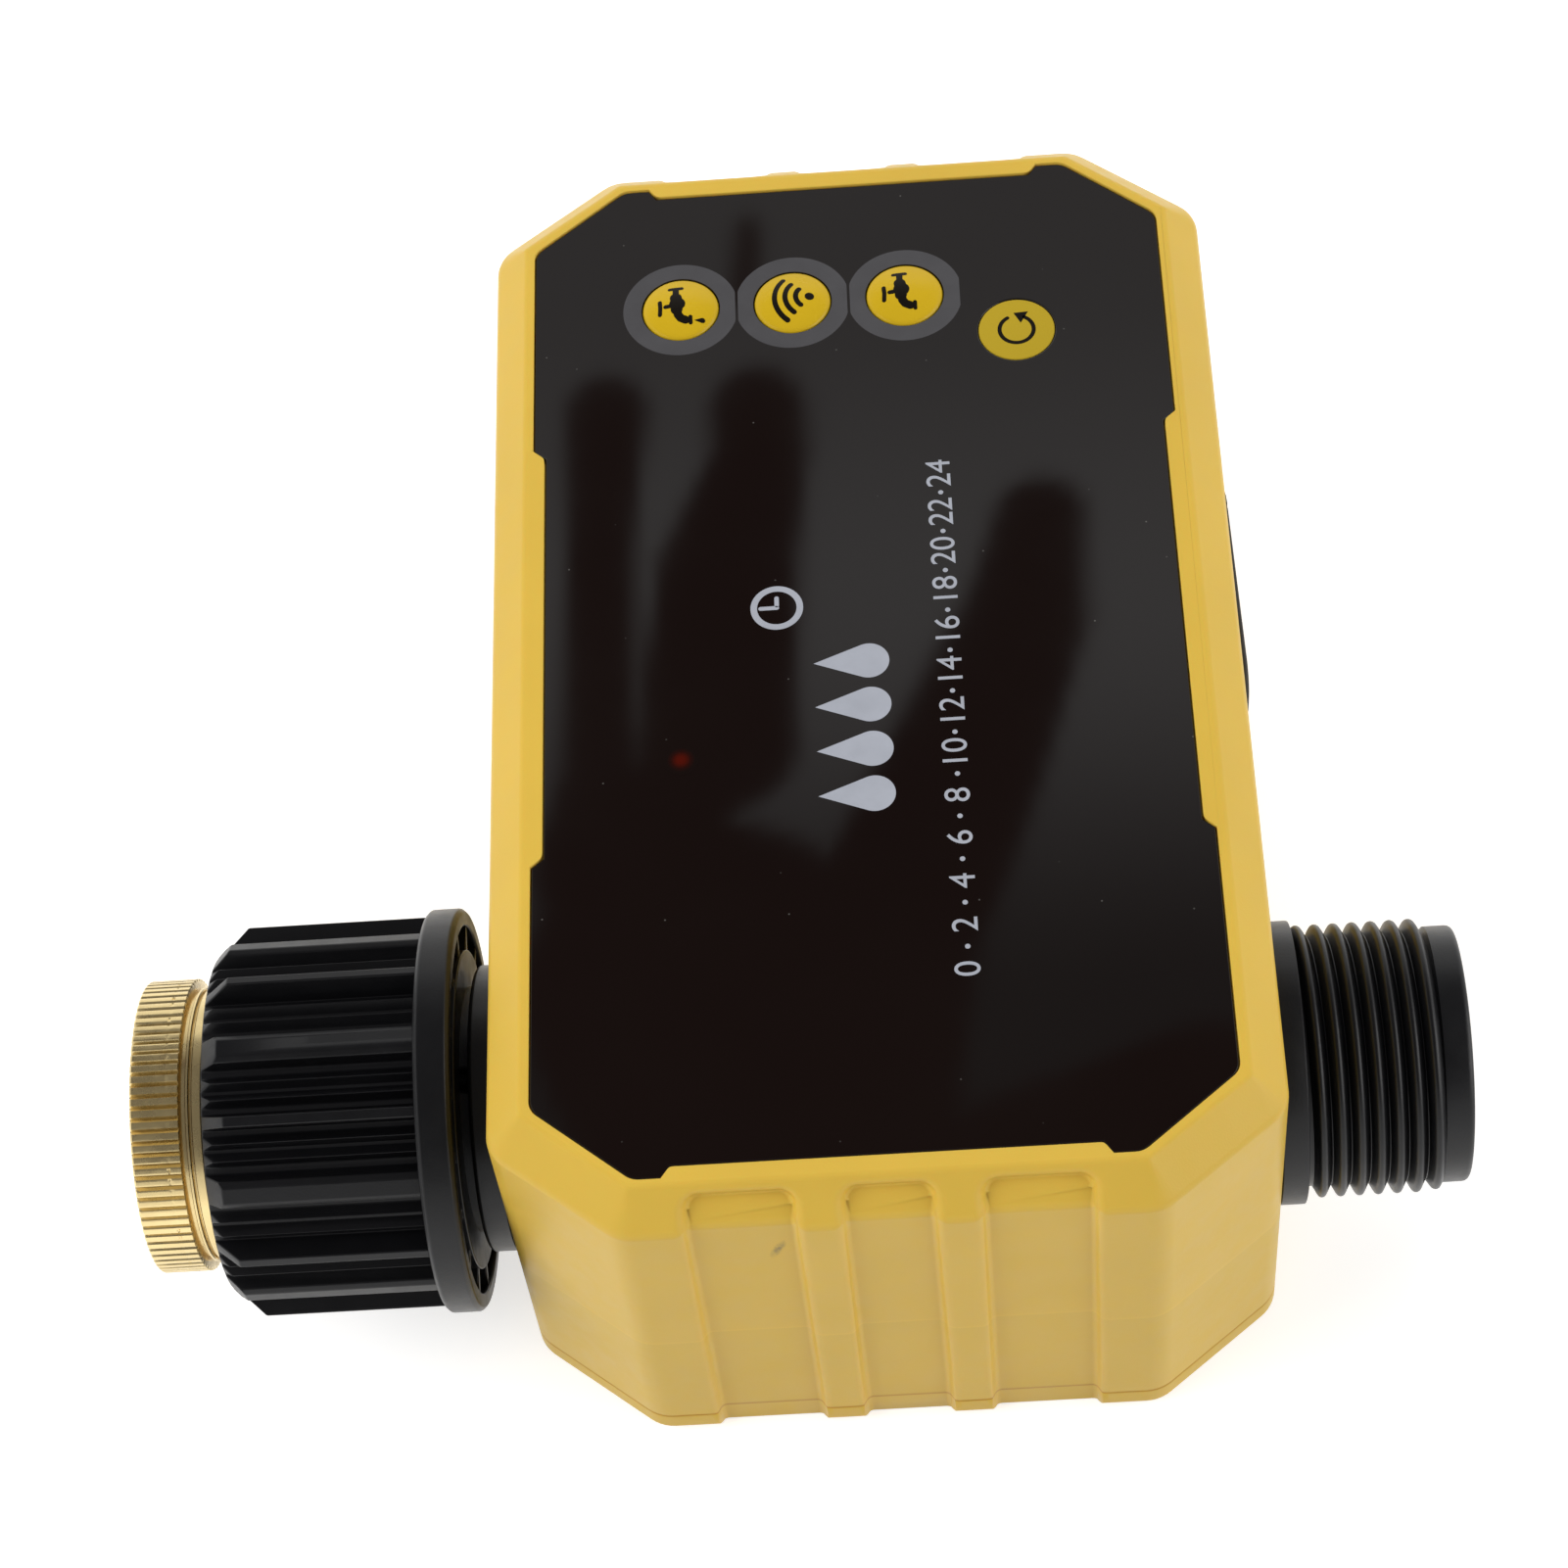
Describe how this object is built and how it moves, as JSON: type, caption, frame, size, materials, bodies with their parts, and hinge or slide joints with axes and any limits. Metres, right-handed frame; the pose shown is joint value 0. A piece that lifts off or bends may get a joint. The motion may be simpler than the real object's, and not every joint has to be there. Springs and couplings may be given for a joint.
{
  "type": "smart irrigation controller",
  "caption": "Battery hose-tap irrigation timer: bevelled yellow case, dark panel with round keys, ribbed swivel inlet nut with brass reducer and threaded hose outlet.",
  "frame": {"origin": "centre of the case's flat back face", "axes": "+Z out of the front panel, +X along the water line towards the outlet, +Y from the water line towards the keys"},
  "size_m": [0.1271, 0.1252, 0.0472],
  "materials": {
    "case": "satin moulded",
    "panel": "glossy",
    "key": "satin",
    "flap": "soft matte",
    "fitting": "satin moulded",
    "brass": "machined",
    "seal": "soft",
    "steel": "plated",
    "board": "solder mask",
    "switch": "satin",
    "led": "clear tinted",
    "can": "plain",
    "cell": "shrink sleeve",
    "frame_black": "moulded",
    "valve_grey": "moulded",
    "seat": "smooth",
    "ball": "polished"
  },
  "bodies": {
    "case": {"front_shell": "case", "back_cover": "case", "case_gasket": "seal", "case_screws": "steel", "front_panel": "panel", "circuit_board": "board", "board_screws": "steel", "key_switches": "switch", "status_led": "led", "wifi_module": "can", "charge_socket": "can", "flap_root": "flap", "battery_cell": "cell", "battery_cradle": "frame_black", "motor_gearbox": "frame_black", "motor_can": "can", "motor_screws": "steel", "valve_body": "valve_grey", "ball_seats": "seat", "stem_seal": "seal", "inlet_fitting": "fitting", "outlet_fitting": "fitting", "wall_seals": "seal", "nut_clip": "steel", "inlet_washer": "seal", "filter_screen": "can"},
    "nut": {"inlet_nut": "fitting"},
    "adapter_seat": {"adapter_washer": "seal"},
    "adapter": {"brass_adapter": "brass"},
    "flap": {"port_flap": "flap"},
    "valve_rotor": {"valve_ball": "ball", "valve_stem": "brass", "stem_coupler": "frame_black", "motor_output": "can"},
    "button_open": {"key_open": "key", "plunger_open": "switch"},
    "button_wireless": {"key_wireless": "key", "plunger_wireless": "switch"},
    "button_close": {"key_close": "key", "plunger_close": "switch"},
    "button_reset": {"key_reset": "key", "plunger_reset": "switch"}
  },
  "joints": [
    {"name": "nut_spin", "type": "hinge", "parent": "case", "child": "nut", "pos_m": [-0.052, -0.03775, 0.02325], "axis": [1, 0, 0], "continuous": true},
    {"name": "adapter_advance", "type": "slide", "parent": "nut", "child": "adapter_seat", "axis": [-1, 0, 0], "range_m": [0, 0.01088]},
    {"name": "adapter_turn", "type": "hinge", "parent": "adapter_seat", "child": "adapter", "pos_m": [-0.0625, -0.03775, 0.02325], "axis": [-1, 0, 0], "range_deg": [0, 2170]},
    {"name": "flap_hinge", "type": "hinge", "parent": "case", "child": "flap", "pos_m": [0.0373, 0.0177, 0.0354], "axis": [0, 0, 1], "range_deg": [0, 110]},
    {"name": "valve_turn", "type": "hinge", "parent": "case", "child": "valve_rotor", "pos_m": [0, -0.0205, 0.02325], "axis": [0, 1, 0], "range_deg": [0, 90]},
    {"name": "open_press", "type": "slide", "parent": "case", "child": "button_open", "axis": [0, 0, -1], "range_m": [0, 0.0005], "stiffness_N_per_m": 1200, "springref_m": -0.0005},
    {"name": "wireless_press", "type": "slide", "parent": "case", "child": "button_wireless", "axis": [0, 0, -1], "range_m": [0, 0.0005], "stiffness_N_per_m": 1200, "springref_m": -0.0005},
    {"name": "close_press", "type": "slide", "parent": "case", "child": "button_close", "axis": [0, 0, -1], "range_m": [0, 0.0005], "stiffness_N_per_m": 1200, "springref_m": -0.0005},
    {"name": "reset_press", "type": "slide", "parent": "case", "child": "button_reset", "axis": [0, 0, -1], "range_m": [0, 0.0005], "stiffness_N_per_m": 1200, "springref_m": -0.0005}
  ],
  "couplings": [
    {"joint": "adapter_turn", "follows": "adapter_advance", "rad_per_m": 3463.7}
  ]
}
